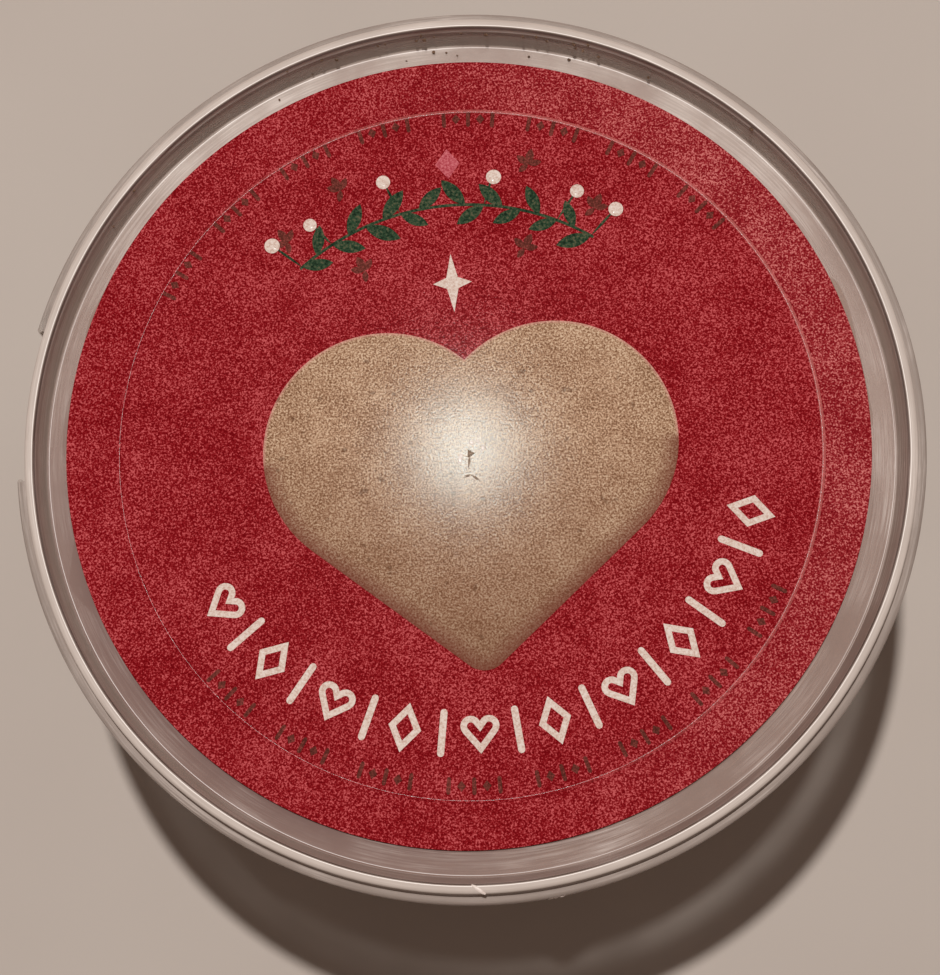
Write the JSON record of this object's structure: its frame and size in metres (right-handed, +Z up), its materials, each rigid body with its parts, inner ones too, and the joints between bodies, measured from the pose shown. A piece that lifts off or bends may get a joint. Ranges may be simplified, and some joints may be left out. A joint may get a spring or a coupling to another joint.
{
  "type": "biscuit tub",
  "caption": "Round clear plastic tub, shut with a press-on lid under a round printed label, and full of heart-shaped biscuits.",
  "frame": {"origin": "middle of the tub's foot, where it stands on a flat surface", "axes": "+Z up through the lid; -Y towards the point of the heart printed on the label; -X towards the grip gap in the lid's skirt"},
  "size_m": [0.1646, 0.165, 0.082],
  "materials": {
    "tub_plastic": "clear, glossy, slightly hazy",
    "lid_plastic": "clear, with fine handling scratches",
    "label_film": "satin printed film, red with a tan heart",
    "baked_biscuit": "dry, fine-grained baked dough"
  },
  "bodies": {
    "root": {"tub": "tub_plastic", "lid": "lid_plastic", "label": "label_film", "biscuits": "baked_biscuit"}
  },
  "joints": []
}
